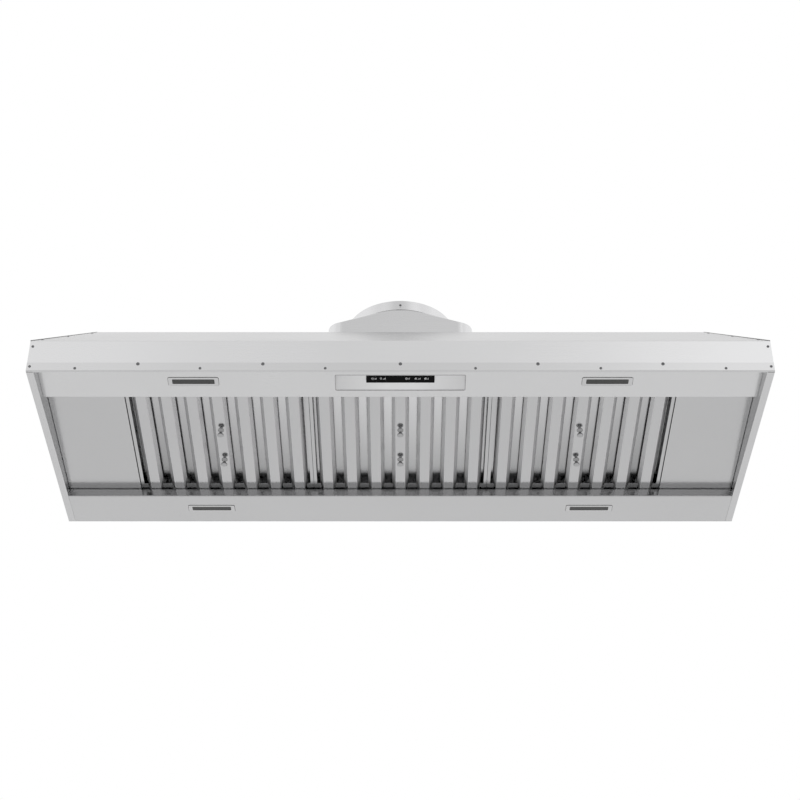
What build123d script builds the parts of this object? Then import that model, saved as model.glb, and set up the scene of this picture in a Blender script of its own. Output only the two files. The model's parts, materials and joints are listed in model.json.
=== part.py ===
from build123d import *

import os
from math import atan2, cos, degrees, radians, sin, tan

# Wall mount range hood. X runs across the hood, Y runs back to the wall at 0, Z is up.
# The origin is on the wall, in the middle of the four wall screws.

# Canopy
hood_width = 1518.0
hood_depth = 571.5
canopy_height = 279.4
fascia_height = 79.2
top_setback = 226.5
side_inset = 84.0
sheet = 1.2
inner_bend = 0.6
wall_screw_height = 150.0
fascia_lap = 3.2

# Lip and side channels
lip_height = 22.2
lip_return = 3.6
bottom_flange = 15.0
inner_wall_height = 72.0
fit_gap = 0.3

# Front light panel
panel_front_height = 27.9
panel_tilt = 4.5
panel_rear = 116.2
panel_front_flange = 16.0
panel_rear_flange_top = 88.0

# Rear light panel, its trough wall and the rolled edge that carries the filters
rear_panel_depth = 104.7
rear_flange = 25.0
hem_radius = 2.5
hem_bore = 1.3
hem_height = 18.0
hem_gap = 0.5

# Filter bay
bay_tilt = 4.2
filter_width = 386.4
filter_thickness = 19.0
filter_sheet = 1.0
filter_front_gap = 6.0
front_lip = 12.0
rear_lip = 20.0
top_lip = 9.0
side_lip = 7.0
side_roof = 20.5
filter_seam = 0.8
hook_gap = 0.6
hook_drop = 5.4
bay_seam = 1.0
bay_leg = 26.0
bay_overhang = 6.0

# Baffles
ridge_count = 7
ridge_gap = 12.8
ridge_flat = 21.0
ridge_flare = 7.5
ridge_rise = 7.2
ridge_end = 1.7
ridge_cut = 16.6
ridge_notch = 5.5
baffle_overlap = 6.5
baffle_leg_height = 6.5

# Filter knobs
knob_radius = 6.6
knob_base = 6.6
knob_neck = 2.9
knob_length = 15.3
knob_cap = 2.4
knob_round = 0.8
rivet_radius = 2.4
rivet_head = 4.2
front_knob = 210.0
rear_knob = 108.0

# Filter catches
catch_width = 18.0
catch_step = 4
catch_sheet = 0.8
catch_height = 57.0
catch_leg = 16.0
catch_rise = 4.2
catch_entry = 2.6
catch_slot_gap = 1.2

# Lamps
lamp_spread = 854.0
front_lamp_row = 65.0
rear_lamp_from_wall = 55.5
bezel_rim = 3.0
bezel_corner = 4.0
bezel_thickness = 0.8
can_end = 5.5
can_side = 2.5
can_corner = 3.0
can_height = 14.0
can_wall = 1.2
lens_length = 87.0
lens_width = 14.0
lens_corner = 2.0
lens_thickness = 2.0
lens_recess = 0.6
lens_ledge = 1.5
lens_gap = 0.15
led_thickness = 1.6
led_margin = 2.0

# Control
tray_width = 268.0
tray_front = 45.6
tray_rear = 93.0
tray_depth = 6.0
tray_rear_depth = 0.5
tray_wall = 1.0
tray_rim = 8.0
tray_corner = 3.0
glass_width = 141.0
glass_height = 22.8
glass_thickness = 3.0
glass_front = 46.9
glass_corner = 1.5
board_width = 160.0
board_depth = 34.0
board_height = 18.0

# Blower
motor_radius = 46.0
motor_length = 96.0
motor_round = 6.0
motor_gap = 6.0
scroll_width = 92.0
scroll_radius = 70.0
scroll_step = 8.0
scroll_neck = 25.0
inlet_radius = 46.0
shaft_hole = 16.0
wheel_radius = 56.0
wheel_width = 74.0
wheel_plate = 2.0
wheel_ring = 4.0
wheel_hub = 11.0
wheel_hub_length = 20.0
blade_count = 32
blade_depth = 9.0
blade_sheet = 1.2
blade_angle = 35.0
shaft_radius = 5.0
shaft_fit = 0.05
bearing_radius = 11.0
bearing_width = 7.0
band_width = 50.0
band_sheet = 2.0
bracket_leg = 3.0
bracket_foot = 20.0

# Duct transition, collar and damper
collar_radius = 126.5
collar_height = 27.0
collar_wall = 1.0
collar_seat = 8.0
transition_side = 39.0
transition_front = 2.5
transition_wall_gap = 1.5
transition_corner = 34.0
transition_wall_height = 89.0
transition_cone_height = 38.0
transition_flange = 9.0
ring_flat = 2.0
flap_sheet = 1.0
flap_gap = 2.0
flap_seat_gap = 0.4
rod_radius = 2.5
knuckle_radius = 4.0
knuckle_count = 4
knuckle_gap = 0.5
flap_clearance = 1.0

# Power box and cable gland
box_x = 560.0
box_width = 140.0
box_depth = 62.0
box_height = 60.0
box_drop = 30.0
box_wall = 1.2
box_hole = 12.0
gland_radius = 11.0
gland_flange = 16.0
gland_flange_height = 4.0
gland_length = 18.0
gland_bore = 6.5
gland_fit = 0.1

# Wall screw holes
wall_hole_radius = 4.0
wall_hole_spread = 812.8
wall_hole_rise = 170.0

# Screws
screw_hole_gap = 0.1
large_head = 3.6
large_shank = 2.4
small_head = 2.9
small_shank = 1.9
head_share = 0.55
shank_length = 7.0
screw_step = 254.0
large_screw_start = 279.4
small_screw_start = 152.4
large_screw_height = 18.9
small_screw_height = 7.8
corner_screw_edge = 6.4
corner_screw_low = 12.4
corner_screw_high = 64.4
hip_screw_edge = 6.5
hip_screw_margin = 0.125
hip_screw_count = 3
transition_screw_count = 4
transition_screw_inset = 4.0


def y_at(from_front):
    return from_front - hood_depth


def z_at(above_rim):
    return above_rim - wall_screw_height


# Sizes that follow from the driving ones
bend = 2 * sheet + inner_bend
half_width = hood_width / 2
inner_half = half_width - bottom_flange - fit_gap
screw_flange = bottom_flange - sheet
slope_angle = atan2(canopy_height - fascia_height, top_setback - sheet)
top_under = z_at(canopy_height - sheet)
hem_y = -rear_panel_depth + hem_radius
hem_z = z_at(hem_height)
filter_seat = hem_radius + hem_gap
filter_half = filter_width / 2
filter_spacing = filter_width + filter_seam
bay_half = filter_spacing + filter_half
ridge_width = ridge_flat + 2 * ridge_flare
ridge_pitch = (filter_width - 2 * filter_sheet - 2 * ridge_gap - ridge_width) / (ridge_count - 1)
catch_spread = catch_step * ridge_pitch
bay_front = y_at(panel_rear)
filter_reach = (hem_y - bay_front - filter_front_gap) / cos(radians(bay_tilt))
filter_centres = {"left": -filter_spacing, "middle": 0.0, "right": filter_spacing}
sides = {"left": -1, "right": 1}
can_length = lens_length + 2 * can_end
can_width = lens_width + 2 * can_side
bezel_length = can_length + 2 * bezel_rim
bezel_width = can_width + 2 * bezel_rim
transition_width = 2 * (collar_radius + transition_side)
transition_depth = 2 * (collar_radius + transition_front)
collar_from_wall = transition_depth / 2 + transition_flange + transition_wall_gap
transition_screw_spread = transition_depth - 2 * transition_screw_inset
collar_y = -collar_from_wall
scroll_inner = motor_length / 2 + motor_gap
outlet_depth = scroll_step * 3 + scroll_radius
tongue_y = collar_y - outlet_depth / 2
volute_z = top_under - scroll_neck - scroll_radius
shaft_y = tongue_y + scroll_step / 2
shaft_z = volute_z + scroll_step / 2
collar_z = z_at(canopy_height + transition_wall_height + transition_cone_height)
rod_z = collar_z + collar_wall + flap_seat_gap + knuckle_radius


def panel_height(from_front):
    return panel_front_height - from_front * tan(radians(panel_tilt))


def bay_z(y):
    return hem_z + filter_seat / cos(radians(bay_tilt)) + (hem_y - y) * tan(radians(bay_tilt))


def canopy_line(inset):
    front = y_at(sheet + inset)
    knee = z_at(fascia_height) - inset * (1 - sin(slope_angle)) / cos(slope_angle)
    crest = y_at(top_setback) + inset * (1 / cos(slope_angle) - 1) / tan(slope_angle)
    top = z_at(canopy_height - inset)
    return (front, knee), (crest, top)


def hip_plane(end, inset):
    rise = canopy_height - fascia_height
    edge = Vector(end * half_width, 0, z_at(fascia_height))
    outward = Vector(end * rise, 0, side_inset).normalized()
    return Plane(origin=edge - outward * inset, z_dir=outward)


def canopy_prism(inset, half_length, past):
    # the filled side view of the canopy, inset inside its skin
    knee, crest = canopy_line(inset)
    with BuildPart() as prism:
        with BuildSketch(Plane.YZ):
            with BuildLine():
                corner = (knee[0], z_at(-past))
                skin = FilletPolyline(corner, knee, crest, (past, crest[1]), radius=bend - inset)
                Polyline(skin @ 1, (past, z_at(-past)), corner)
            make_face()
        extrude(amount=half_length, both=True)
    return prism.part


def canopy_block(inset, end_inset):
    with BuildPart() as block:
        add(canopy_prism(inset, half_width - end_inset, 0))
        for end in (-1, 1):
            split(bisect_by=hip_plane(end, end_inset), keep=Keep.BOTTOM)
    return block.part


def folded_sheet(points, start_x, end_x, thickness=sheet):
    # a sheet folded along X, drawn along its outer face with the metal on the left
    with BuildPart() as fold:
        with BuildSketch(Plane.YZ.offset(start_x)):
            with BuildLine():
                FilletPolyline(*points, radius=bend)
                offset(amount=thickness, side=Side.LEFT)
            make_face()
        extrude(amount=end_x - start_x)
    return fold.part


def bar(plane, x_range, y_range, z_range):
    # a straight bar between limits measured on a plane
    with BuildPart() as straight:
        with BuildSketch(plane.offset(z_range[0])):
            with Locations((sum(x_range) / 2, sum(y_range) / 2)):
                Rectangle(x_range[1] - x_range[0], y_range[1] - y_range[0])
        extrude(amount=z_range[1] - z_range[0])
    return straight.part


def screw(head_radius, shank_radius):
    # a pan head screw standing on XY with its shank pointing down
    head_height = head_radius * head_share
    with BuildPart() as pan:
        Cylinder(head_radius, head_height, align=(Align.CENTER, Align.CENTER, Align.MIN))
        fillet(pan.edges().group_by(Axis.Z)[-1], head_height * 0.8)
        Cylinder(shank_radius, shank_length, align=(Align.CENTER, Align.CENTER, Align.MAX))
    return pan.part


def save(piece, name):
    piece.label = name
    export_step(piece, f"parts/{name}.step")


os.makedirs("parts", exist_ok=True)


# Places of the screws, as (x, height above the rim)
large_places = [(0.0, large_screw_height)]
small_places = []
corner_places = []
for end in (-1, 1):
    for step in (0, 1):
        large_places.append((end * (large_screw_start + step * screw_step), large_screw_height))
    for step in (0, 1, 2):
        small_places.append((end * (small_screw_start + step * screw_step), small_screw_height))
    for height in (corner_screw_low, corner_screw_high):
        corner_places.append((end * (half_width - corner_screw_edge), height))


def facing(places, depth):
    # locations on a front face, with +Z of each pointing out of the hood
    return [Location((x, y_at(depth), z_at(height)), (90, 0, 0)) for x, height in places]


knee_point, crest_point = canopy_line(0)
hip_places = []
for end in (-1, 1):
    for step in range(hip_screw_count):
        share = hip_screw_margin + step * (1 - 2 * hip_screw_margin) / (hip_screw_count - 1)
        hip_y = knee_point[0] + share * (crest_point[0] - knee_point[0])
        hip_z = knee_point[1] + share * (crest_point[1] - knee_point[1])
        hip_x = end * (half_width - hip_screw_edge - share * side_inset)
        hip_places.append(Location((hip_x, hip_y, hip_z), (degrees(slope_angle), 0, 0)))


# Lip strip with its bottom return
def clear_holes(locations, radius):
    with BuildPart() as holes:
        with Locations(*locations):
            Cylinder(radius + screw_hole_gap, shank_length * 2.2)
    return holes.part


large_holes = clear_holes(facing(large_places, 0), large_shank)
small_holes = clear_holes(facing(small_places, 0), small_shank)
corner_low = [place for place in corner_places if place[1] < lip_height]
corner_high = [place for place in corner_places if place[1] >= lip_height]
corner_locations = facing(corner_low, 0) + facing(corner_high, sheet)
corner_holes = clear_holes(corner_locations, small_shank)
hip_holes = clear_holes(hip_places, small_shank)

lip_back = y_at(bend)
with BuildPart() as front_rail:
    lip_line = [(y_at(0), z_at(lip_height)), (y_at(0), z_at(0)), (y_at(lip_return), z_at(0))]
    add(folded_sheet(lip_line, -half_width, half_width))
    for end in sides.values():
        corner = sorted((end * (half_width - bottom_flange - fit_gap), end * hood_width))
        add(bar(Plane.XY.offset(z_at(0)), corner, (lip_back, 0), (0, 2 * sheet)), mode=Mode.SUBTRACT)
    add(large_holes, mode=Mode.SUBTRACT)
    add(small_holes, mode=Mode.SUBTRACT)
    add(corner_holes, mode=Mode.SUBTRACT)
save(front_rail.part, "front_rail")

# Canopy: fascia, front slope and top panel from one sheet
with BuildPart() as canopy_shell:
    add(canopy_block(0, 0))
    add(canopy_prism(sheet, hood_width, sheet), mode=Mode.SUBTRACT)
    with BuildSketch(Plane.XY.offset(z_at(0))):
        Rectangle(2 * hood_width, 4 * hood_depth)
    extrude(amount=fascia_lap, mode=Mode.SUBTRACT)
    with BuildSketch(Plane.XY.offset(top_under)):
        for end in sides.values():
            with Locations((end * (scroll_inner + scroll_width / 2), collar_y)):
                Rectangle(scroll_width - 2 * sheet, outlet_depth)
        with Locations((box_x, -box_depth / 2)):
            Circle(gland_radius + gland_fit)
    extrude(amount=2 * sheet, mode=Mode.SUBTRACT)
    for holes in (large_holes, small_holes, corner_holes, hip_holes):
        add(holes, mode=Mode.SUBTRACT)
    transition_screw_places = []
    for end in (-1, 1):
        for step in range(transition_screw_count):
            across = end * (transition_width + transition_flange) / 2
            along = collar_y + (step / (transition_screw_count - 1) - 0.5) * transition_screw_spread
            transition_screw_places.append((across, along, z_at(canopy_height) + sheet))
    with Locations(*transition_screw_places):
        Cylinder(small_shank + screw_hole_gap, shank_length * 2.2, mode=Mode.SUBTRACT)
save(canopy_shell.part, "canopy_shell")


# Side panels: wall, hip slope, screw flanges, bottom flange and inner wall
def side_panel(end):
    rim = Plane.XY.offset(z_at(0))
    channel_front = y_at(lip_return) + fit_gap
    flange_front = lip_back + fit_gap
    outside = sorted((end * half_width, end * (half_width - bottom_flange)))
    inner = sorted((end * (half_width - bottom_flange), end * (half_width - bottom_flange + sheet)))
    with BuildPart() as flanges:
        add(canopy_block(sheet, 0))
        add(canopy_prism(2 * sheet, hood_width, 2 * sheet), mode=Mode.SUBTRACT)
        add(canopy_block(0, screw_flange), mode=Mode.SUBTRACT)
        add(bar(rim, (-hood_width, hood_width), (y_at(0), 0), (0, fascia_lap)), mode=Mode.SUBTRACT)
        add(bar(rim, (-hood_width, hood_width), (-hood_depth / 4, 0), (0, canopy_height)), mode=Mode.SUBTRACT)
    with BuildPart() as side:
        add(canopy_block(sheet, 0))
        add(canopy_block(0, sheet), mode=Mode.SUBTRACT)
        front_cut = (y_at(0), flange_front)
        add(bar(rim, (-hood_width, hood_width), front_cut, (0, sheet + fit_gap)), mode=Mode.SUBTRACT)
        add(flanges.part)
        split(bisect_by=Plane.YZ, keep=Keep.TOP if end > 0 else Keep.BOTTOM)
        add(bar(rim, outside, (flange_front, -sheet), (0, sheet)))
        add(bar(rim, inner, (channel_front, -sheet), (0, inner_wall_height)))
        add(corner_holes, mode=Mode.SUBTRACT)
        add(hip_holes, mode=Mode.SUBTRACT)
    return side.part


for side_name, end in sides.items():
    save(side_panel(end), f"side_panel_{side_name}")

# Back panel with the wall screw holes
with BuildPart() as back_panel:
    add(canopy_block(sheet, sheet))
    add(bar(Plane.XY.offset(z_at(0)), (-hood_width, hood_width), (-2 * hood_depth, -sheet), (0, canopy_height)),
        mode=Mode.SUBTRACT)
    with BuildSketch(Plane.XZ):
        with GridLocations(wall_hole_spread, wall_hole_rise, 2, 2):
            Circle(wall_hole_radius)
    extrude(amount=2 * sheet, mode=Mode.SUBTRACT)
save(back_panel.part, "back_panel")


# Planes of the two lamp panels, with local Z pointing up into the hood
def panel_plane(from_front):
    lean = radians(panel_tilt)
    origin = (0, y_at(from_front), z_at(panel_height(from_front)))
    return Plane(origin=origin, x_dir=(1, 0, 0), z_dir=(0, sin(lean), cos(lean)))


lamp_planes = {
    "front": panel_plane(front_lamp_row),
    "rear": Plane(origin=(0, -rear_lamp_from_wall, z_at(0)), x_dir=(1, 0, 0), z_dir=(0, 0, 1)),
}
tray_middle = (tray_front + tray_rear) / 2
tray_plane = panel_plane(tray_middle)
tray_length = (tray_rear - tray_front) / cos(radians(panel_tilt))


def lamp_cutouts(plane):
    with BuildPart() as cutouts:
        with BuildSketch(plane.offset(-sheet)):
            with GridLocations(lamp_spread, 0, 2, 1):
                RectangleRounded(can_length + 2 * fit_gap, can_width + 2 * fit_gap, can_corner)
        extrude(amount=3 * sheet)
    return cutouts.part


# Front light panel
with BuildPart() as front_light_panel:
    panel_line = [
        (y_at(2 * sheet), z_at(panel_height(0) + panel_front_flange)),
        (y_at(2 * sheet), z_at(panel_height(2 * sheet))),
        (y_at(panel_rear), z_at(panel_height(panel_rear))),
        (y_at(panel_rear), z_at(panel_rear_flange_top)),
    ]
    add(folded_sheet(panel_line, -inner_half, inner_half))
    add(lamp_cutouts(lamp_planes["front"]), mode=Mode.SUBTRACT)
    with BuildSketch(tray_plane.offset(-sheet)):
        RectangleRounded(tray_width + 2 * fit_gap, tray_length + 2 * fit_gap, tray_corner)
    extrude(amount=3 * sheet, mode=Mode.SUBTRACT)
save(front_light_panel.part, "front_light_panel")

# Control pocket with a floor that slopes back to the panel, touch glass and board
def pocket_plane(lift):
    fall = atan2(tray_depth - tray_rear_depth, tray_length)
    middle = tray_plane.offset((tray_depth + tray_rear_depth) / 2)
    return middle.rotated((-degrees(fall), 0, 0)).offset(lift)


with BuildPart() as pocket:
    with BuildSketch(tray_plane.offset(-sheet)):
        RectangleRounded(tray_width - 2 * tray_wall, tray_length - 2 * tray_wall, tray_corner - tray_wall)
    extrude(amount=2 * tray_depth)
    split(bisect_by=pocket_plane(0), keep=Keep.BOTTOM)

with BuildPart() as control_tray:
    with BuildSketch(tray_plane):
        RectangleRounded(tray_width, tray_length, tray_corner)
    extrude(amount=2 * tray_depth)
    split(bisect_by=pocket_plane(tray_wall), keep=Keep.BOTTOM)
    with BuildSketch(tray_plane.offset(sheet)):
        RectangleRounded(tray_width + 2 * tray_rim, tray_length + 2 * tray_rim, tray_corner + tray_rim)
    extrude(amount=tray_wall)
    add(pocket.part, mode=Mode.SUBTRACT)
save(control_tray.part, "control_tray")

glass_y = (glass_front + glass_height / 2 - tray_middle) / cos(radians(panel_tilt))
with BuildPart() as control_glass:
    with BuildSketch(pocket_plane(-glass_thickness)):
        with Locations((0, glass_y)):
            RectangleRounded(glass_width, glass_height, glass_corner)
    extrude(amount=glass_thickness)
save(control_glass.part, "control_glass")

with BuildPart() as control_board:
    with BuildSketch(pocket_plane(tray_wall)):
        RectangleRounded(board_width, board_depth, tray_corner)
    extrude(amount=board_height)
save(control_board.part, "control_board")

# Rear light panel with its trough wall and rolled edge
with BuildPart() as rear_light_panel:
    rear_line = [
        (-rear_panel_depth, hem_z),
        (-rear_panel_depth, z_at(0)),
        (-sheet, z_at(0)),
        (-sheet, z_at(rear_flange)),
    ]
    add(folded_sheet(rear_line, -inner_half, inner_half))
    with BuildSketch(Plane.YZ.offset(-inner_half)):
        with Locations((hem_y, hem_z)):
            Circle(hem_radius)
    extrude(amount=2 * inner_half)
    with BuildSketch(Plane.YZ.offset(-inner_half)):
        with Locations((hem_y, hem_z)):
            Circle(hem_bore)
    extrude(amount=2 * inner_half, mode=Mode.SUBTRACT)
    add(lamp_cutouts(lamp_planes["rear"]), mode=Mode.SUBTRACT)
save(rear_light_panel.part, "rear_light_panel")


# Fixed sheets of the filter bay, which slope down to the rear
def bay_slab(x_range, low, high):
    rear = hem_y + bay_overhang
    with BuildPart() as slab:
        with BuildSketch(Plane.YZ.offset(min(x_range))):
            with BuildLine():
                Polyline(
                    (bay_front, bay_z(bay_front) + low),
                    (rear, bay_z(rear) + low),
                    (rear, bay_z(rear) + high),
                    (bay_front, bay_z(bay_front) + high),
                    close=True,
                )
            make_face()
        extrude(amount=max(x_range) - min(x_range))
    return slab.part


for side_name, end in sides.items():
    outer = end * inner_half
    filler_inner = end * (bay_half + bay_seam)
    with BuildPart() as filler_panel:
        add(bay_slab((filler_inner, outer), 0, sheet))
        add(bay_slab((filler_inner, filler_inner + end * sheet), 0, bay_leg))
        add(bay_slab((outer - end * sheet, outer), 0, bay_leg))
        fillet(filler_panel.edges().filter_by(GeomType.LINE).group_by(SortBy.LENGTH)[-1]
               .sort_by(Axis.Z)[:2], bend / 2)
    save(filler_panel.part, f"filler_panel_{side_name}")


# Filters, drawn on a plane through the hinge line with local Y pointing to the rear
def hinge_plane(centre):
    lean = radians(bay_tilt)
    return Plane(origin=(centre, hem_y, hem_z), x_dir=(1, 0, 0), z_dir=(0, sin(lean), cos(lean)))


def section_plane(centre, along):
    # a plane across the filter, looking to the front, at a distance along it
    lean = radians(bay_tilt)
    forward = Vector(0, -cos(lean), sin(lean))
    origin = Vector(centre, hem_y, hem_z) - forward * along
    return Plane(origin=origin, x_dir=(1, 0, 0), z_dir=forward)


filter_floor = filter_seat + filter_sheet
filter_top = filter_seat + filter_thickness
hook_face = hem_radius + hook_gap
filter_rear = hook_face + filter_sheet


def nose_slots(centre):
    # slots in the front wall of a filter that its catches enter
    reach = filter_front_gap + catch_entry + catch_slot_gap
    with BuildPart() as slots:
        for place in (-catch_spread / 2, catch_spread / 2):
            width = catch_width / 2 + catch_slot_gap
            x_range = (centre + place - width, centre + place + width)
            height = (catch_height - catch_rise - catch_slot_gap, catch_height + catch_rise + catch_slot_gap)
            add(bar(Plane.XY.offset(z_at(0)), x_range, (bay_front, bay_front + reach), height))
    return slots.part


def filter_frame(centre):
    plane = hinge_plane(centre)
    width = (-filter_half, filter_half)
    inside = filter_half - filter_sheet
    notch = ridge_flat / 2 + ridge_notch
    with BuildPart() as frame:
        add(bar(plane, width, (-filter_reach, filter_rear), (filter_floor, filter_top)))
        add(bar(plane, (-inside, inside), (-filter_reach + filter_sheet, hook_face),
                (filter_floor + filter_sheet, filter_top - filter_sheet)), mode=Mode.SUBTRACT)
        lip_level = (filter_floor, filter_floor + filter_sheet)
        lip_inside = filter_half - side_lip
        opening = (-filter_reach + front_lip, -rear_lip)
        add(bar(plane, (-lip_inside, lip_inside), opening, lip_level), mode=Mode.SUBTRACT)
        with GridLocations(ridge_pitch, 0, ridge_count, 1):
            add(bar(plane, (-notch, notch), (-rear_lip - filter_sheet, hook_face), lip_level), mode=Mode.SUBTRACT)
        add(bar(plane, (side_roof - filter_half, filter_half - side_roof),
                (-filter_reach + top_lip, filter_rear - top_lip),
                (filter_top - filter_sheet, filter_top)), mode=Mode.SUBTRACT)
        add(bar(plane, width, (hook_face, filter_rear), (filter_seat - hook_drop, filter_floor)))
        add(nose_slots(centre), mode=Mode.SUBTRACT)
    return frame.part


def ridge(centre):
    # one lower baffle: a channel with flared sides, cut at a slant where it meets the rear lip
    plane = hinge_plane(centre)
    length = filter_reach - front_lip - 2 * ridge_end
    flat = ridge_flat / 2
    with BuildPart() as channel:
        with BuildSketch(section_plane(centre, -ridge_end)):
            with BuildLine():
                FilletPolyline(
                    (-flat - ridge_flare, filter_seat + ridge_rise),
                    (-flat, filter_seat),
                    (flat, filter_seat),
                    (flat + ridge_flare, filter_seat + ridge_rise),
                    radius=bend / 2,
                )
                offset(amount=filter_sheet, side=Side.LEFT)
            make_face()
        extrude(amount=length)
        with BuildSketch(plane * Plane.YZ.offset(-ridge_width)):
            with BuildLine():
                Polyline(
                    (-ridge_end, filter_floor),
                    (hook_face, filter_floor),
                    (hook_face, filter_top),
                    (-ridge_cut, filter_seat + ridge_rise + 2 * filter_sheet),
                    close=True,
                )
            make_face()
        extrude(amount=2 * ridge_width, mode=Mode.SUBTRACT)
        add(bar(plane, (-flat, flat), (-filter_reach, hook_face), (filter_seat, filter_floor)))
    return channel.part


def upper_baffle(centre):
    # one upper baffle: an inverted channel over the gap between two ridges
    half = (ridge_pitch - ridge_flat) / 2 - ridge_flare + baffle_overlap + filter_sheet
    roof = filter_top - filter_sheet
    with BuildPart() as channel:
        with BuildSketch(section_plane(centre, hook_face - fit_gap)):
            with BuildLine():
                Polyline(
                    (half, filter_seat + baffle_leg_height),
                    (half, roof),
                    (-half, roof),
                    (-half, filter_seat + baffle_leg_height),
                )
                offset(amount=filter_sheet, side=Side.LEFT)
            make_face()
        extrude(amount=filter_reach + hook_face - filter_sheet - 2 * fit_gap)
    return channel.part


def knob():
    # a waisted pull knob hanging below its seat at the origin, with a rivet through the ridge
    with BuildPart() as pull:
        with BuildSketch(Plane.XZ):
            with BuildLine():
                Polyline(
                    (0, filter_sheet + rivet_head / 3),
                    (rivet_head, filter_sheet + rivet_head / 3),
                    (rivet_head, filter_sheet),
                    (rivet_radius, filter_sheet),
                    (rivet_radius, 0),
                    (knob_base, 0),
                    (knob_base, -knob_round),
                    (knob_neck, knob_cap - knob_length / 2),
                    (knob_neck, -knob_length / 2),
                    (knob_radius, knob_cap - knob_length),
                    (knob_radius, knob_round - knob_length),
                    (knob_radius - knob_round, -knob_length),
                    (0, -knob_length),
                    close=True,
                )
            make_face()
        revolve(axis=Axis.Z)
    return pull.part


def knob_locations(centre):
    plane = hinge_plane(centre).offset(filter_seat)
    return [plane.location * Location((0, -along, 0)) for along in (front_knob, rear_knob)]


for filter_name, centre in filter_centres.items():
    save(filter_frame(centre), f"filter_{filter_name}_frame")

    with BuildPart() as front_baffles:
        with GridLocations(ridge_pitch, 0, ridge_count, 1):
            add(ridge(centre))
        with Locations(*knob_locations(centre)):
            Cylinder(rivet_radius + screw_hole_gap, 4 * filter_sheet, mode=Mode.SUBTRACT)
    save(front_baffles.part, f"filter_{filter_name}_front_baffles")

    with BuildPart() as rear_baffles:
        with GridLocations(ridge_pitch, 0, ridge_count - 1, 1):
            add(upper_baffle(centre))
    save(rear_baffles.part, f"filter_{filter_name}_rear_baffles")

    with BuildPart() as knobs:
        with Locations(*knob_locations(centre)):
            add(knob())
    save(knobs.part, f"filter_{filter_name}_knobs")

    # Leaf springs on the front light panel's rear flange
    with BuildPart() as catches:
        tip = bay_front + filter_front_gap + catch_entry
        spring_line = [
            (bay_front, z_at(catch_height + catch_rise + catch_leg)),
            (bay_front, z_at(catch_height + catch_rise)),
            (tip, z_at(catch_height)),
            (bay_front + catch_sheet, z_at(catch_height - catch_rise)),
        ]
        for place in (-catch_spread / 2, catch_spread / 2):
            with BuildSketch(Plane.YZ.offset(centre + place - catch_width / 2)):
                with BuildLine():
                    Polyline(*spring_line)
                    offset(amount=catch_sheet, side=Side.LEFT)
                make_face()
            extrude(amount=catch_width)
    save(catches.part, f"filter_{filter_name}_catches")


# Lamps: a housing with a bezel below the panel and a can above it, a lens and a board
window_height = bezel_thickness + can_height - can_wall
led_solids = []
for row_name, plane in lamp_planes.items():
    low = plane.offset(-bezel_thickness)
    for side_name, end in sides.items():
        place = (end * lamp_spread / 2, 0)
        with BuildPart() as lamp_housing:
            with BuildSketch(low):
                with Locations(place):
                    RectangleRounded(bezel_length, bezel_width, bezel_corner)
            extrude(amount=bezel_thickness)
            with BuildSketch(plane):
                with Locations(place):
                    RectangleRounded(can_length, can_width, can_corner)
            extrude(amount=can_height)
            with BuildSketch(low):
                with Locations(place):
                    RectangleRounded(lens_length + 2 * lens_gap, lens_width + 2 * lens_gap, lens_corner)
            extrude(amount=lens_recess + lens_thickness, mode=Mode.SUBTRACT)
            with BuildSketch(low):
                with Locations(place):
                    RectangleRounded(lens_length - 2 * lens_ledge, lens_width - 2 * lens_ledge, lens_corner / 2)
            extrude(amount=window_height, mode=Mode.SUBTRACT)
        save(lamp_housing.part, f"{row_name}_{side_name}_lamp_housing")

        with BuildPart() as lamp_lens:
            with BuildSketch(low.offset(lens_recess)):
                with Locations(place):
                    RectangleRounded(lens_length, lens_width, lens_corner)
            extrude(amount=lens_thickness)
        save(lamp_lens.part, f"{row_name}_{side_name}_lamp_lens")

with BuildPart() as led_boards:
    for plane in lamp_planes.values():
        with BuildSketch(plane.offset(can_height - can_wall - led_thickness)):
            with GridLocations(lamp_spread, 0, 2, 1):
                margin = lens_ledge + led_margin
                Rectangle(lens_length - 2 * margin, lens_width - 2 * lens_ledge - 2 * fit_gap)
        extrude(amount=led_thickness)
save(led_boards.part, "led_boards")


# Blower scrolls: three quarter turns that widen, then a straight neck up to the top panel
def scroll_outline(grow, start_x, length, rise):
    first = Vector(tongue_y, volute_z)
    second = first + Vector(scroll_step, 0)
    third = second + Vector(0, scroll_step)
    with BuildPart() as filled:
        with BuildSketch(Plane.YZ.offset(start_x)):
            with BuildLine():
                inlet_arc = CenterArc(first, scroll_radius + grow, 90, 90)
                lower_arc = CenterArc(second, scroll_radius + scroll_step + grow, 180, 90)
                rear_arc = CenterArc(third, scroll_radius + 2 * scroll_step + grow, 270, 90)
                inner_top = (tongue_y, third.Y)
                Polyline(rear_arc @ 1, inner_top, inlet_arc @ 0)
            make_face()
            neck_front = tongue_y - grow
            neck_rear = third.X + scroll_radius + 2 * scroll_step + grow
            neck_low = third.Y
            neck_high = top_under + rise
            with Locations(((neck_front + neck_rear) / 2, (neck_low + neck_high) / 2)):
                Rectangle(neck_rear - neck_front, neck_high - neck_low)
        extrude(amount=length)
    return filled.part


for side_name, end in sides.items():
    near = end * scroll_inner
    far = end * (scroll_inner + scroll_width)
    start = min(near, far)
    with BuildPart() as blower_scroll:
        add(scroll_outline(sheet, start, scroll_width, 0))
        add(scroll_outline(0, start + sheet, scroll_width - 2 * sheet, sheet), mode=Mode.SUBTRACT)
        with Locations(Location((far, shaft_y, shaft_z), (0, 90, 0))):
            Cylinder(inlet_radius, 4 * sheet, mode=Mode.SUBTRACT)
        with Locations(Location((near, shaft_y, shaft_z), (0, 90, 0))):
            Cylinder(shaft_hole, 4 * sheet, mode=Mode.SUBTRACT)
    save(blower_scroll.part, f"blower_scroll_{side_name}")

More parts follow.
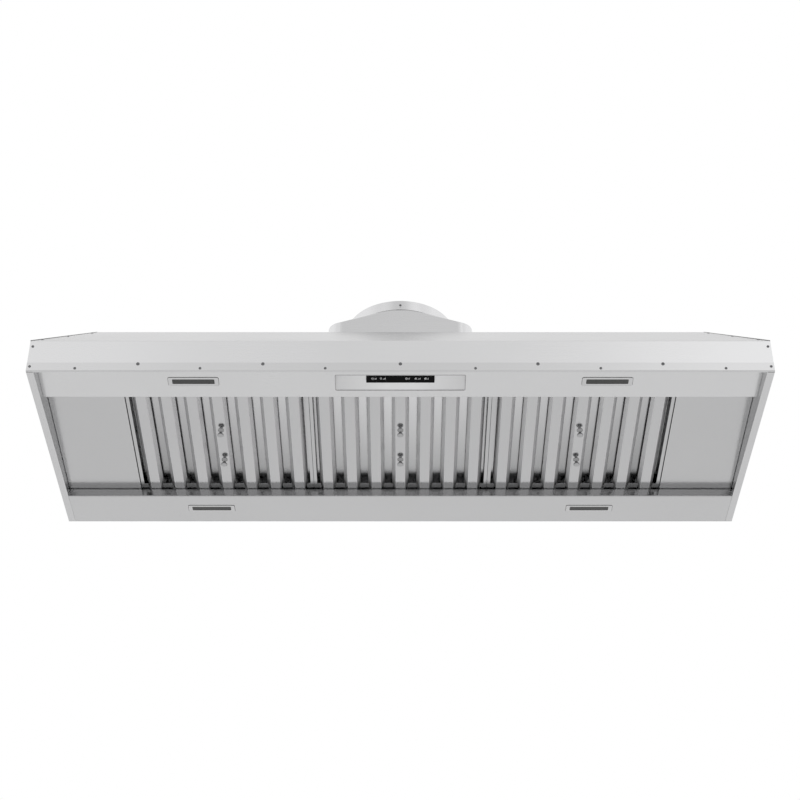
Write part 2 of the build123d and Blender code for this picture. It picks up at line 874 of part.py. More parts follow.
# Motor, its bearings, shaft and bracket
shaft_axis = Plane(origin=(0, shaft_y, shaft_z), x_dir=(0, 1, 0), z_dir=(1, 0, 0))
with BuildPart() as blower_motor:
    with BuildSketch(shaft_axis):
        Circle(motor_radius)
    extrude(amount=motor_length / 2, both=True)
    fillet(blower_motor.edges().filter_by(GeomType.CIRCLE), motor_round)
    with BuildSketch(shaft_axis):
        Circle(shaft_radius * 1.4)
    extrude(amount=motor_length, both=True, mode=Mode.SUBTRACT)
    for end in (-1, 1):
        with BuildSketch(shaft_axis.offset(end * motor_length / 2)):
            Circle(bearing_radius)
        extrude(amount=-end * bearing_width, mode=Mode.SUBTRACT)
save(blower_motor.part, "blower_motor")

with BuildPart() as motor_bearings:
    for end in (-1, 1):
        with BuildSketch(shaft_axis.offset(end * motor_length / 2)):
            Circle(bearing_radius)
            Circle(shaft_radius + shaft_fit, mode=Mode.SUBTRACT)
        extrude(amount=-end * bearing_width)
save(motor_bearings.part, "motor_bearings")

wheel_start = scroll_inner + (scroll_width - wheel_width) / 2
shaft_half = wheel_start + wheel_hub_length
with BuildPart() as motor_shaft:
    with BuildSketch(shaft_axis):
        Circle(shaft_radius)
    extrude(amount=shaft_half, both=True)
save(motor_shaft.part, "motor_shaft")

with BuildPart() as motor_bracket:
    with BuildSketch(shaft_axis):
        Circle(motor_radius + band_sheet)
        Circle(motor_radius, mode=Mode.SUBTRACT)
    extrude(amount=band_width / 2, both=True)
    strap_foot = top_under - bracket_leg
    strap_start = shaft_z + motor_radius + band_sheet / 2
    for end in (-1, 1):
        edge = sorted((end * band_width / 2, end * (band_width / 2 - bracket_leg)))
        add(bar(Plane.XY, edge, (shaft_y - bracket_foot, shaft_y + bracket_foot), (strap_start, top_under)))
    band = (-band_width / 2, band_width / 2)
    add(bar(Plane.XY, band, (shaft_y - bracket_foot, shaft_y + bracket_foot), (strap_foot, top_under)))
    with BuildSketch(shaft_axis):
        Circle(motor_radius)
    extrude(amount=band_width, both=True, mode=Mode.SUBTRACT)
save(motor_bracket.part, "motor_bracket")

# Blower wheels: a hub plate by the motor, forward blades and an end ring
for side_name, end in sides.items():
    with BuildPart() as blower_wheel:
        plate_plane = shaft_axis.offset(end * wheel_start)
        with BuildSketch(plate_plane):
            Circle(wheel_radius)
        extrude(amount=end * wheel_plate)
        with BuildSketch(plate_plane):
            Circle(wheel_hub)
        extrude(amount=end * wheel_hub_length)
        with BuildSketch(plate_plane):
            with PolarLocations(wheel_radius - blade_depth / 2, blade_count):
                Rectangle(blade_depth, blade_sheet, rotation=blade_angle)
        extrude(amount=end * wheel_width)
        with BuildSketch(shaft_axis.offset(end * (wheel_start + wheel_width))):
            Circle(wheel_radius)
            Circle(wheel_radius - blade_depth, mode=Mode.SUBTRACT)
        extrude(amount=-end * wheel_ring)
        with BuildSketch(plate_plane):
            Circle(shaft_radius)
        extrude(amount=end * wheel_width, mode=Mode.SUBTRACT)
    save(blower_wheel.part, f"blower_wheel_{side_name}")

# Power box under the top panel and the cable gland above it
with BuildPart() as power_box:
    box_top = top_under - box_drop
    box_base = Plane.XY.offset(box_top - box_height)
    box_sides = (box_x - box_width / 2, box_x + box_width / 2)
    add(bar(box_base, box_sides, (-sheet - box_depth, -sheet), (0, box_height)))
    add(bar(box_base, (box_sides[0] + box_wall, box_sides[1] - box_wall),
            (-sheet - box_depth + box_wall, -sheet - box_wall), (0, box_height - box_wall)), mode=Mode.SUBTRACT)
    with Locations((box_x, -box_depth / 2, box_top)):
        Cylinder(box_hole, 4 * box_wall, mode=Mode.SUBTRACT)
save(power_box.part, "power_box")

with BuildPart() as cable_gland:
    with BuildSketch(Plane.XY.offset(z_at(canopy_height))):
        with Locations((box_x, -box_depth / 2)):
            Circle(gland_flange)
    extrude(amount=gland_flange_height)
    fillet(cable_gland.edges().group_by(Axis.Z)[-1], gland_flange_height / 3)
    with BuildSketch(Plane.XY.offset(z_at(canopy_height))):
        with Locations((box_x, -box_depth / 2)):
            Circle(gland_radius)
    extrude(amount=gland_flange_height - gland_length)
    with Locations((box_x, -box_depth / 2, z_at(canopy_height))):
        Cylinder(gland_bore, 3 * gland_length, mode=Mode.SUBTRACT)
save(cable_gland.part, "cable_gland")


# Duct transition: an upright box with round corners, flat faces and cone corners that meet a ring
def round_outline(side_x, side_y, corner_x, corner_y):
    # four straight sides joined by four round corners, drawn around from the right
    corner = side_x - corner_x
    Line((side_x, -corner_y), (side_x, corner_y))
    CenterArc((corner_x, corner_y), corner, 0, 90)
    Line((corner_x, side_y), (-corner_x, side_y))
    CenterArc((-corner_x, corner_y), corner, 90, 90)
    Line((-side_x, corner_y), (-side_x, -corner_y))
    CenterArc((-corner_x, -corner_y), corner, 180, 90)
    Line((-corner_x, -side_y), (corner_x, -side_y))
    CenterArc((corner_x, -corner_y), corner, 270, 90)


def transition_solid(inset, base, top):
    shoulder = z_at(canopy_height + transition_wall_height)
    side_x = transition_width / 2 - inset
    side_y = transition_depth / 2 - inset
    corner = transition_corner - inset
    ring = collar_radius + collar_wall / 2 - inset
    with BuildPart() as tower:
        with BuildSketch(Plane((0, collar_y, shoulder))) as shoulder_sketch:
            with BuildLine():
                round_outline(side_x, side_y, side_x - corner, side_y - corner)
            make_face()
        extrude(amount=base - shoulder)
        with BuildSketch(Plane((0, collar_y, top))) as ring_sketch:
            with BuildLine():
                round_outline(ring, ring, ring_flat, ring_flat)
            make_face()
        loft([shoulder_sketch.sketch, ring_sketch.sketch], ruled=True)
    return tower.part


with BuildPart() as duct_transition:
    transition_base = z_at(canopy_height)
    add(transition_solid(0, transition_base, collar_z))
    with BuildSketch(Plane.XY.offset(transition_base)):
        with Locations((0, collar_y)):
            RectangleRounded(transition_width + 2 * transition_flange, transition_depth + 2 * transition_flange,
                             transition_corner + transition_flange)
    extrude(amount=sheet)
    add(transition_solid(sheet, transition_base, collar_z - sheet), mode=Mode.SUBTRACT)
    with BuildSketch(Plane.XY.offset(collar_z)):
        with Locations((0, collar_y)):
            Circle(collar_radius - collar_seat)
    extrude(amount=2 * sheet, both=True, mode=Mode.SUBTRACT)
    with Locations(*transition_screw_places):
        Cylinder(small_shank + screw_hole_gap, shank_length * 2.2, mode=Mode.SUBTRACT)
save(duct_transition.part, "duct_transition")

# Collar with an inward seat for the damper flaps and holes for their rod
rod_line = Plane(origin=(0, collar_y, rod_z), x_dir=(1, 0, 0), z_dir=(0, 1, 0))
with BuildPart() as duct_collar:
    with BuildSketch(Plane.XY.offset(collar_z)):
        with Locations((0, collar_y)):
            Circle(collar_radius)
    extrude(amount=collar_height)
    with BuildSketch(Plane.XY.offset(collar_z + collar_wall)):
        with Locations((0, collar_y)):
            Circle(collar_radius - collar_wall)
    extrude(amount=collar_height, mode=Mode.SUBTRACT)
    with BuildSketch(Plane.XY.offset(collar_z)):
        with Locations((0, collar_y)):
            Circle(collar_radius - collar_seat)
    extrude(amount=2 * collar_wall, both=True, mode=Mode.SUBTRACT)
    with BuildSketch(rod_line):
        Circle(rod_radius)
    extrude(amount=2 * collar_radius, both=True, mode=Mode.SUBTRACT)
save(duct_collar.part, "duct_collar")

rod_half = collar_radius - collar_wall / 2
with BuildPart() as damper_rod:
    with BuildSketch(rod_line):
        Circle(rod_radius)
    extrude(amount=rod_half, both=True)
save(damper_rod.part, "damper_rod")

# Damper flaps: half discs that share the rod through alternate knuckles
flap_radius = collar_radius - collar_wall - flap_gap
knuckle_length = 2 * (flap_radius - 2 * flap_gap) / knuckle_count
for flap_index, (side_name, end) in enumerate(sides.items()):
    with BuildPart() as damper_flap:
        with BuildSketch(Plane.XY.offset(rod_z - knuckle_radius)):
            with Locations((0, collar_y)):
                Circle(flap_radius)
        extrude(amount=flap_sheet)
        split(bisect_by=Plane.YZ.offset(end * flap_clearance), keep=Keep.TOP if end > 0 else Keep.BOTTOM)
        for index in range(knuckle_count):
            start = -knuckle_length * knuckle_count / 2 + index * knuckle_length
            span = (collar_y + start, collar_y + start + knuckle_length)
            if index % 2 == flap_index:
                with BuildSketch(rod_line.offset(start + knuckle_gap)):
                    Circle(knuckle_radius)
                extrude(amount=knuckle_length - 2 * knuckle_gap)
            else:
                reach = sorted((0, end * (knuckle_radius + flap_clearance)))
                height = (rod_z - 2 * knuckle_radius, rod_z + knuckle_radius)
                add(bar(Plane.XY, reach, span, height), mode=Mode.SUBTRACT)
        with BuildSketch(rod_line):
            Circle(rod_radius + shaft_fit)
        extrude(amount=2 * collar_radius, both=True, mode=Mode.SUBTRACT)
    save(damper_flap.part, f"damper_flap_{side_name}")

# Screws
large_screw = screw(large_head, large_shank)
small_screw = screw(small_head, small_shank)
screw_groups = {
    "lip_screws_large": (large_screw, facing(large_places, 0)),
    "lip_screws_small": (small_screw, facing(small_places, 0)),
    "corner_screws": (small_screw, corner_locations),
    "hip_screws": (small_screw, hip_places),
    "transition_screws": (small_screw, [Location(place) for place in transition_screw_places]),
}
for group_name, (pattern, locations) in screw_groups.items():
    with BuildPart() as screw_group:
        with Locations(*locations):
            add(pattern)
    save(screw_group.part, group_name)
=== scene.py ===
import bpy
import bmesh
import json
import math
from mathutils import Matrix, Vector


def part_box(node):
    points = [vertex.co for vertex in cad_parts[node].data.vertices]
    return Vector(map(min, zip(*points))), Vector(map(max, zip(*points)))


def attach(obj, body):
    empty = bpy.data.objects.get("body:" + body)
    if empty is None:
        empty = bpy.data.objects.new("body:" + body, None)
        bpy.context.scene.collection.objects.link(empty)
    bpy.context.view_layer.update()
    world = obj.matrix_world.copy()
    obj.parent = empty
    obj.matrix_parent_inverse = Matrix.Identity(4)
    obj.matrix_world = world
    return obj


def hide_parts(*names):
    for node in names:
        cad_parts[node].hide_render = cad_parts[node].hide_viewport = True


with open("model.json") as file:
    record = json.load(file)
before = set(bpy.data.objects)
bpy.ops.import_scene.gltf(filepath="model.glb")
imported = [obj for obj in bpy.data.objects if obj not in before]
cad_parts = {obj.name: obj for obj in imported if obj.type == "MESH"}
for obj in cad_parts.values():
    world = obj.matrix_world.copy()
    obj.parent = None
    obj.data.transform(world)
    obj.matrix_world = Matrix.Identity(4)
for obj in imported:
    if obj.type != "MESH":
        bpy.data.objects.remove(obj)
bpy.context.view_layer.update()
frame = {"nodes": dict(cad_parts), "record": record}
nodes = frame["nodes"]
print("hood frame loaded,", len(nodes), "nodes")

# camera under the front edge, looking up at the filters
cameraLook = {"lens": 78.345, "sensor": 36.0, "place": (-0.0008, -3.3897, -2.2694), "pitch": 36.0,
              "farthest": 100.0}

cameraData = bpy.data.cameras.new("hoodCamera")
cameraData.lens = cameraLook["lens"]
cameraData.sensor_width = cameraLook["sensor"]
cameraData.clip_end = cameraLook["farthest"]
camera = bpy.data.objects.new("hoodCamera", cameraData)
camera.location = cameraLook["place"]
camera.rotation_euler = (math.radians(90 + cameraLook["pitch"]), 0, 0)
bpy.context.scene.collection.objects.link(camera)
bpy.context.scene.camera = camera
bpy.context.scene.view_settings.view_transform = "Standard"
print("camera set")

noiseSpan = (0.3, 0.7)  # where most values of a noise texture lie


def newMaterial(name):
    made = bpy.data.materials.new(name)
    made.use_nodes = True
    return made, made.node_tree.nodes, made.node_tree.links, made.node_tree.nodes["Principled BSDF"]


def spanOf(value, share):
    return value * (1 - share), value * (1 + share)


def tonesOf(color, share):
    return [c * (1 - share) for c in color], [min(1.0, c * (1 + share)) for c in color]


def mixColors(tree, links, share, low, high):
    blend = tree.new("ShaderNodeMix")
    blend.data_type = "RGBA"
    blend.inputs[6].default_value = [*low, 1.0]
    blend.inputs[7].default_value = [*high, 1.0]
    links.new(share, blend.inputs[0])
    return blend.outputs[2]


def scaleColor(tree, links, color, share):
    scaled = tree.new("ShaderNodeVectorMath")
    scaled.operation = "SCALE"
    links.new(color, scaled.inputs[0])
    links.new(share, scaled.inputs["Scale"])
    return scaled.outputs["Vector"]


def spreadValue(tree, links, source, low, high, span=noiseSpan):
    spread = tree.new("ShaderNodeMapRange")
    for socket, value in zip(("From Min", "From Max", "To Min", "To Max"), (*span, low, high)):
        spread.inputs[socket].default_value = value
    links.new(source, spread.inputs["Value"])
    return spread.outputs["Result"]


def mathStep(tree, links, operation, *sources):
    step = tree.new("ShaderNodeMath")
    step.operation = operation
    for k, source in enumerate(sources):
        links.new(source, step.inputs[k])
    return step.outputs[0]


def noiseOver(tree, links, source, scale, detail):
    noise = tree.new("ShaderNodeTexNoise")
    noise.inputs["Scale"].default_value = scale
    noise.inputs["Detail"].default_value = detail
    links.new(source, noise.inputs["Vector"])
    return noise.outputs


def grainOver(tree, links, source, grain, detail):
    stretch = tree.new("ShaderNodeMapping")
    stretch.inputs["Scale"].default_value = grain
    links.new(source, stretch.inputs["Vector"])
    return noiseOver(tree, links, stretch.outputs["Vector"], 1.0, detail)


def rippleOn(tree, links, shader, height, depth, distance):
    ripple = tree.new("ShaderNodeBump")
    ripple.inputs["Strength"].default_value = depth
    ripple.inputs["Distance"].default_value = distance
    links.new(height, ripple.inputs["Height"])
    links.new(ripple.outputs["Normal"], shader.inputs["Normal"])


# brushed sheet: grain counts per metre along each axis, so the low number is the way it was brushed,
# edge is the tint at a grazing view, side, a painted shade that darkens upright or slanting faces against
# level ones, sideRough their roughness, turned, a painted sheen that lightens faces that look to the left
# or right, and fades, painted shade and light on faces that look down, by distance along an axis
alongWidth = (7, 1300, 1300)
alongDepth = (1300, 7, 1300)
steelLooks = {
    "canopySteel": {"color": (0.61, 0.61, 0.615), "rough": 0.25, "grain": alongWidth, "depth": 0.05,
                    "edge": 0.86},
    "sideSteel": {"color": (0.665, 0.665, 0.67), "rough": 0.25, "grain": alongDepth, "depth": 0.05,
                  "edge": 0.73},
    "lipSteel": {"color": (0.67, 0.67, 0.675), "rough": 0.24, "grain": alongWidth, "depth": 0.05,
                 "side": 0.82},
    "frontPanelSteel": {"color": (0.69, 0.69, 0.695), "rough": 0.24, "grain": alongWidth, "depth": 0.05},
    "rearPanelSteel": {"color": (0.60, 0.60, 0.605), "rough": 0.2, "grain": alongWidth, "depth": 0.04,
                       "side": 0.7},
    # its fade is a painted shade, darker towards the pocket's left and right ends
    "pocketSteel": {"color": (0.80, 0.80, 0.805), "rough": 0.42, "grain": alongWidth, "depth": 0.04,
                    "side": 0.6, "paintedShading": (("X", 0.03, 0.134, 1.0, 0.82),)},
    "fillerSteel": {"color": (0.56, 0.56, 0.565), "rough": 0.2, "grain": alongDepth, "depth": 0.04},
    "baffleSteel": {"color": (0.57, 0.57, 0.575), "rough": 0.15, "grain": alongDepth, "depth": 0.03,
                    "side": 0.98, "sideRough": 0.42},
    # its fades are painted light and shade: lighter in the middle and towards the front, darker towards
    # the ends and the rear
    "rearBaffleSteel": {"color": (0.57, 0.57, 0.575), "rough": 0.22, "grain": alongDepth, "depth": 0.03,
                        "side": 0.98, "sideRough": 0.42,
                        "paintedShading": (("X", 0.0, 0.55, 1.18, 0.84), ("Y", 0.12, 0.45, 0.67, 1.17))},
    # its fade is a painted shade, darker along the rear edge
    "frameSteel": {"color": (0.54, 0.54, 0.545), "rough": 0.2, "grain": alongDepth, "depth": 0.04,
                   "side": 0.6, "paintedShading": (("Y", 0.118, 0.124, 0.42, 1.0),)},
    # its turned tone is a painted sheen, lighter on faces that look to the left or right
    "ductSteel": {"color": (0.535, 0.535, 0.54), "rough": 0.27, "grain": (7, 1000, 1000), "depth": 0.05,
                  "turned": 1.4},
    "trimSteel": {"color": (0.62, 0.62, 0.625), "rough": 0.22, "grain": (20, 1300, 1300), "depth": 0.03},
    "knobSteel": {"color": (0.44, 0.44, 0.445), "rough": 0.12, "grain": (350, 350, 350), "depth": 0.01,
                  "side": 0.66},
    "bearingSteel": {"color": (0.60, 0.60, 0.61), "rough": 0.14, "grain": (350, 350, 350), "depth": 0.01},
    "screwSteel": {"color": (0.17, 0.17, 0.175), "rough": 0.32, "grain": (700, 700, 700), "depth": 0.04},
    "springSteel": {"color": (0.48, 0.48, 0.49), "rough": 0.28, "grain": (40, 900, 900), "depth": 0.03},
    "wheelMetal": {"color": (0.62, 0.62, 0.63), "rough": 0.38, "grain": (200, 200, 200), "depth": 0.05},
}
# what all brushed sheets share: cloud is a slow change of tone over a hand's width, and the From pairs
# say how far a face has to lean to count as turned, level, glossy or no longer looking down
sheetLook = {"grainDetail": 3.0, "cloud": 4.0, "cloudDetail": 2.0, "cloudShare": 0.55, "tone": 0.05,
             "gloss": 0.18, "ripple": 0.0004, "turnedFrom": (0.12, 0.6), "levelFrom": (0.55, 0.98),
             "glossyFrom": (0.75, 0.98), "notDownFrom": (-0.97, -0.9)}


def brushedSteel(name):
    look = steelLooks[name]
    made, tree, links, shader = newMaterial(name)
    shader.inputs["Metallic"].default_value = 1.0
    edge = look.get("edge", 1.0)
    shader.inputs["Specular Tint"].default_value = (edge, edge, edge, 1.0)
    place = tree.new("ShaderNodeTexCoord").outputs
    grain = grainOver(tree, links, place["Object"], look["grain"], sheetLook["grainDetail"])
    cloud = noiseOver(tree, links, place["Object"], sheetLook["cloud"], sheetLook["cloudDetail"])
    tone = tree.new("ShaderNodeMix")
    tone.inputs[0].default_value = sheetLook["cloudShare"]
    links.new(grain["Fac"], tone.inputs[2])
    links.new(cloud["Fac"], tone.inputs[3])
    color = mixColors(tree, links, tone.outputs[0], *tonesOf(look["color"], sheetLook["tone"]))

    facing = tree.new("ShaderNodeSeparateXYZ")
    links.new(place["Normal"], facing.inputs[0])
    # turned: a painted sheen, lighter colour on faces that look to the left or right
    if "turned" in look:
        across = mathStep(tree, links, "ABSOLUTE", facing.outputs["X"])
        paintedSheen = spreadValue(tree, links, across, 1.0, look["turned"], sheetLook["turnedFrom"])
        color = scaleColor(tree, links, color, paintedSheen)
    # side: a painted shade, darker colour on upright and slanting faces
    if "side" in look:
        level = mathStep(tree, links, "ABSOLUTE", facing.outputs["Z"])
        paintedSideShade = spreadValue(tree, links, level, look["side"], 1.0, sheetLook["levelFrom"])
        color = scaleColor(tree, links, color, paintedSideShade)
    # fades: painted shade and light, tone changed by distance along an axis on faces that look down
    for axis, start, end, low, high in look.get("paintedShading", ()):
        along = tree.new("ShaderNodeSeparateXYZ")
        links.new(place["Object"], along.inputs[0])
        distance = mathStep(tree, links, "ABSOLUTE", along.outputs[axis])
        paintedFade = spreadValue(tree, links, distance, low, high, (start, end))
        notDown = spreadValue(tree, links, facing.outputs["Z"], 0.0, 1.0, sheetLook["notDownFrom"])
        share = tree.new("ShaderNodeMix")
        share.inputs[3].default_value = 1.0
        links.new(notDown, share.inputs[0])
        links.new(paintedFade, share.inputs[2])
        color = scaleColor(tree, links, color, share.outputs[0])
    links.new(color, shader.inputs["Base Color"])

    rough = spreadValue(tree, links, tone.outputs[0], *spanOf(look["rough"], sheetLook["gloss"]))
    if "sideRough" in look:
        added = look["sideRough"] - look["rough"]
        more = spreadValue(tree, links, level, added, 0.0, sheetLook["glossyFrom"])
        rough = mathStep(tree, links, "ADD", rough, more)
    links.new(rough, shader.inputs["Roughness"])
    rippleOn(tree, links, shader, grain["Fac"], look["depth"], sheetLook["ripple"])
    return made


steel = {name: brushedSteel(name) for name in steelLooks}

# zinc coat with its crystal flowers, their outlines bent by a wobble
zincLook = {"flowers": 130.0, "dark": (0.42, 0.43, 0.44), "light": (0.51, 0.52, 0.53),
            "rough": (0.3, 0.44), "wobble": 40.0, "wobbleDetail": 2.0, "bend": 0.012, "depth": 0.06,
            "ripple": 0.0003}


def zincCoat():
    made, tree, links, shader = newMaterial("zincCoat")
    shader.inputs["Metallic"].default_value = 1.0
    place = tree.new("ShaderNodeTexCoord").outputs
    wobble = noiseOver(tree, links, place["Object"], zincLook["wobble"], zincLook["wobbleDetail"])
    shift = tree.new("ShaderNodeVectorMath")
    shift.operation = "MULTIPLY_ADD"
    shift.inputs[1].default_value = [zincLook["bend"]] * 3
    links.new(wobble["Color"], shift.inputs[0])
    links.new(place["Object"], shift.inputs[2])
    flowers = tree.new("ShaderNodeTexVoronoi")
    flowers.inputs["Scale"].default_value = zincLook["flowers"]
    links.new(shift.outputs["Vector"], flowers.inputs["Vector"])
    gray = tree.new("ShaderNodeSeparateColor")
    links.new(flowers.outputs["Color"], gray.inputs["Color"])
    color = mixColors(tree, links, gray.outputs["Red"], zincLook["dark"], zincLook["light"])
    links.new(color, shader.inputs["Base Color"])
    rough = spreadValue(tree, links, gray.outputs["Green"], *zincLook["rough"])
    links.new(rough, shader.inputs["Roughness"])
    rippleOn(tree, links, shader, wobble["Fac"], zincLook["depth"], zincLook["ripple"])
    return made


zinc = zincCoat()

# paint, rubber, plastic and glass: a fine texture in tone, gloss and surface
fineGrain = (900, 900, 900)
smoothLooks = {
    "lampGlass": {"color": (0.05, 0.05, 0.049), "rough": 0.3, "grain": (700, 60, 700), "depth": 0.25,
                  "spread": 0.12, "shine": 0.35},
    "ledBoard": {"color": (0.72, 0.72, 0.68), "rough": 0.5, "grain": (500, 500, 500), "depth": 0.05,
                 "spread": 0.08},
    "touchGlass": {"color": (0.003, 0.003, 0.0033), "rough": 0.2, "grain": (30, 30, 30), "depth": 0.01,
                   "spread": 0.2, "shine": 0.06},
    "boardCase": {"color": (0.035, 0.035, 0.035), "rough": 0.5, "grain": fineGrain, "depth": 0.12,
                  "spread": 0.15},
    "motorPaint": {"color": (0.035, 0.036, 0.04), "rough": 0.36, "grain": (500, 500, 500), "depth": 0.15,
                   "spread": 0.15},
    "glandPlastic": {"color": (0.025, 0.025, 0.025), "rough": 0.48, "grain": fineGrain, "depth": 0.12,
                     "spread": 0.15},
    "seamFill": {"color": (0.16, 0.16, 0.16), "rough": 0.5, "grain": fineGrain, "depth": 0.1,
                 "spread": 0.15},
    # dark rubber of the collar bead, also used for the thin rings and lines that are painted shade of
    # gaps
    "sealBeadAndGapShade": {"color": (0.03, 0.03, 0.03), "rough": 0.6, "grain": fineGrain, "depth": 0.1,
                   "spread": 0.15},
    "iconPaint": {"color": (0.86, 0.86, 0.87), "rough": 0.45, "grain": fineGrain, "depth": 0.02,
                  "spread": 0.05},
}
speckleLook = {"detail": 2.0, "gloss": 0.15, "ripple": 0.0003, "shine": 0.5}


def smoothFinish(name):
    look = smoothLooks[name]
    made, tree, links, shader = newMaterial(name)
    shader.inputs["Specular IOR Level"].default_value = look.get("shine", speckleLook["shine"])
    place = tree.new("ShaderNodeTexCoord").outputs
    speckle = grainOver(tree, links, place["Object"], look["grain"], speckleLook["detail"])["Fac"]
    color = mixColors(tree, links, speckle, *tonesOf(look["color"], look["spread"]))
    links.new(color, shader.inputs["Base Color"])
    rough = spreadValue(tree, links, speckle, *spanOf(look["rough"], speckleLook["gloss"]))
    links.new(rough, shader.inputs["Roughness"])
    rippleOn(tree, links, shader, speckle, look["depth"], speckleLook["ripple"])
    return made


smooth = {name: smoothFinish(name) for name in smoothLooks}

# finish for each of the record's material slots, then for the nodes that differ
slotFinish = {
    "canopy_steel": steel["canopySteel"],
    "panel_steel": steel["frontPanelSteel"],
    "filler_steel": steel["fillerSteel"],
    "frame_steel": steel["frameSteel"],
    "baffle_steel": steel["baffleSteel"],
    "knob_steel": steel["knobSteel"],
    "spring_steel": steel["springSteel"],
    "lamp_trim": steel["trimSteel"],
    "lamp_lens": smooth["lampGlass"],
    "led_board": smooth["ledBoard"],
    "tray_steel": steel["pocketSteel"],
    "control_glass": smooth["touchGlass"],
    "electronics": smooth["boardCase"],
    "galvanised": zinc,
    "duct_steel": steel["ductSteel"],
    "motor_paint": smooth["motorPaint"],
    "bearing_steel": steel["bearingSteel"],
    "wheel_aluminium": steel["wheelMetal"],
    "gland_plastic": smooth["glandPlastic"],
    "screw_steel": steel["screwSteel"],
}
nodeFinish = {
    "side_panel_left": steel["sideSteel"],
    "side_panel_right": steel["sideSteel"],
    "front_rail": steel["lipSteel"],
    "rear_light_panel": steel["rearPanelSteel"],
    "filter_left_rear_baffles": steel["rearBaffleSteel"],
    "filter_middle_rear_baffles": steel["rearBaffleSteel"],
    "filter_right_rear_baffles": steel["rearBaffleSteel"],
}
for part in frame["record"]["subparts"]:
    shown = nodes[part["node"]]
    shown.data.materials.clear()
    shown.data.materials.append(nodeFinish.get(part["node"], slotFinish[part["material_slot"]]))
print("finishes given")

creaseAngle = 40  # degrees, sharper edges stay crisp
endSides = (("left", -1), ("right", 1))


def addPiece(name, mesh, finish, body="hood", replaced=None):
    mesh.materials.append(finish)
    piece = bpy.data.objects.new(name, mesh)
    bpy.context.scene.collection.objects.link(piece)
    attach(piece, body)
    if replaced:
        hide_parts(replaced)


def meshFrom(name, work):
    mesh = bpy.data.meshes.new(name)
    bmesh.ops.recalc_face_normals(work, faces=work.faces)
    work.to_mesh(mesh)
    work.free()
    mesh.shade_smooth()
    mesh.set_sharp_from_angle(angle=math.radians(creaseAngle))
    return mesh


def circlePoint(radius, k, count):
    angle = 2 * math.pi * k / count
    return radius * math.cos(angle), radius * math.sin(angle)


def turned(work, profile, place, segments, ring=False):
    # a turned form: (radius, height) pairs spun about the local Z of place, joined end to end for a ring
    rings = []
    for radius, height in profile:
        points = [circlePoint(radius, k, segments) for k in range(segments if radius else 1)]
        rings.append([work.verts.new(place @ Vector((x, y, height))) for x, y in points])
    for lower, upper in zip(rings, rings[1:] + rings[:1] if ring else rings[1:]):
        for k in range(segments):
            after = (k + 1) % segments
            corners = [lower[k % len(lower)], lower[after % len(lower)],
                       upper[after % len(upper)], upper[k % len(upper)]]
            work.faces.new(list(dict.fromkeys(corners)))


def boxIn(work, place, size):
    made = bmesh.ops.create_cube(work, size=1.0)
    bmesh.ops.transform(work, verts=made["verts"], matrix=place @ Matrix.Diagonal((*size, 1.0)))


# screws: domed heads with a cross slot and a threaded shank, in shares of the head, shank or length,
# but slotTurn is in radians, and neck and apart are in metres
screwLook = {"segments": 24, "rise": 0.55, "slotWidth": 0.24, "slotReach": 1.25, "slotDepth": 0.4,
             "slotTurn": 0.35, "tipRadius": 0.5, "tipStart": 0.98, "turns": 7, "threaded": 0.82,
             "threadRoot": 0.8, "threadEdge": 0.05, "neck": 0.0001, "apart": 0.02,
             "dome": ((0.98, 0), (1, 0.16), (0.93, 0.5), (0.75, 0.8), (0.45, 0.96), (0, 1))}
slopeLook = {"rise": 0.2002, "run": 0.2253}
slopeTurn = math.atan2(slopeLook["rise"], slopeLook["run"])  # lean of the front slope
screwGroups = {
    "lip_screws_large": {"axis": (0, -1, 0), "shank": 0.0024},
    "lip_screws_small": {"axis": (0, -1, 0), "shank": 0.0019},
    "corner_screws": {"axis": (0, -1, 0), "shank": 0.0019},
    "hip_screws": {"axis": (0, -math.sin(slopeTurn), math.cos(slopeTurn)), "shank": 0.0019},
    "transition_screws": {"axis": (0, 0, 1), "shank": 0.0019},
}
collarScrew = {"at": (0, -0.2660, 0.2704), "axis": (0, -1, 0), "radius": 0.0029, "length": 0.0045,
               "shank": 0.0019}


def axisTurn(axis):
    return Vector(axis).normalized().to_track_quat("Z", "Y").to_matrix().to_4x4()


def screwSpots(node, group):
    # the points of one screw lie close together, so they gather by distance
    bunches = []
    for vertex in nodes[node].data.vertices:
        for bunch in bunches:
            if (bunch[0] - vertex.co).length < screwLook["apart"]:
                bunch.append(vertex.co)
                break
        else:
            bunches.append([vertex.co])
    turn = axisTurn(group["axis"])
    spots = []
    for bunch in bunches:
        local = [turn.inverted() @ point for point in bunch]
        low = [min(p[k] for p in local) for k in range(3)]
        high = [max(p[k] for p in local) for k in range(3)]
        radius = (high[0] - low[0]) / 2
        rise = radius * screwLook["rise"]
        seat = Matrix.Translation(((low[0] + high[0]) / 2, (low[1] + high[1]) / 2, high[2] - rise))
        spots.append({"place": turn @ seat, "radius": radius, "length": high[2] - low[2] - rise,
                      "shank": group["shank"]})
    return spots


def screwProfile(radius, rise, length, shank):
    profile = [(0, -length), (shank * screwLook["tipRadius"], -length * screwLook["tipStart"])]
    for k in range(screwLook["turns"]):
        along = -length + length * screwLook["threaded"] * (k + 0.5) / screwLook["turns"]
        profile += [(shank * screwLook["threadRoot"], along),
                    (shank, along + length * screwLook["threadEdge"])]
    profile.append((shank, -screwLook["neck"]))
    return profile + [(radius * out, rise * up) for out, up in screwLook["dome"]]


